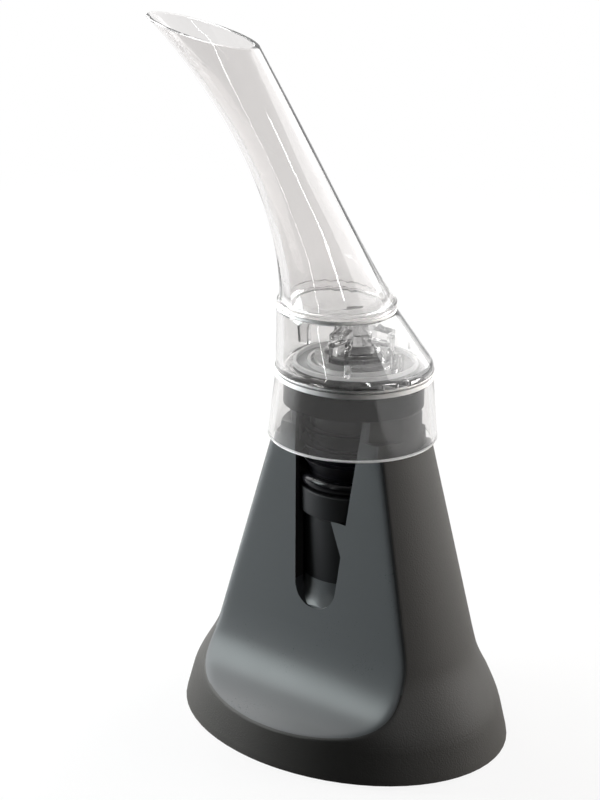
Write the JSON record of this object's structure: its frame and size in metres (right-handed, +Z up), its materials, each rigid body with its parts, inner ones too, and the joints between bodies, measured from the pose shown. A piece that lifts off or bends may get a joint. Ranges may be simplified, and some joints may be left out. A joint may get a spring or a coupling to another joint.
{
  "type": "wine aerator pourer with stand",
  "caption": "Clear angled pourer with an aerating chamber and a rubber bottle plug, standing in a black scooped cone with an oval foot and a drip cup.",
  "frame": {"origin": "centre of the oval foot, on the table face of the foot pad", "axes": "+Z up along the axis of the plug, X along the long axis of the foot with the spout leaning to -X, a scooped face towards -Y"},
  "size_m": [0.0902, 0.0578, 0.1402],
  "materials": {
    "clear_plastic": "clear, polished",
    "stand_black": "satin on the flats, fine grain on the cone",
    "cup_grey": "satin",
    "base_black": "matt",
    "pad_rubber": "matt",
    "head_black": "satin",
    "plug_rubber": "gloss",
    "core_black": "gloss",
    "return_tube": "clear, polished",
    "soft_clear": "clear, satin"
  },
  "bodies": {
    "stand": {"stand_shell": "stand_black", "drip_cup": "cup_grey", "base_plate": "base_black", "foot_pad": "pad_rubber"},
    "stopper": {"stopper_head": "head_black", "stopper_sleeve": "plug_rubber", "plug_ring": "plug_rubber", "stopper_core": "core_black", "air_return_tube": "return_tube", "venturi_nozzle": "clear_plastic"},
    "housing": {"bell_housing": "clear_plastic", "chamber_floor": "clear_plastic", "air_intake_tube": "clear_plastic", "neck_gasket": "soft_clear", "spout": "clear_plastic"}
  },
  "joints": [
    {"name": "lift", "type": "slide", "parent": "stand", "child": "stopper", "axis": [0, 0, 1], "range_m": [0, 0.04]},
    {"name": "turn", "type": "hinge", "parent": "stopper", "child": "housing", "pos_m": [0, 0, 0.0762], "axis": [0, 0, 1], "continuous": true}
  ]
}
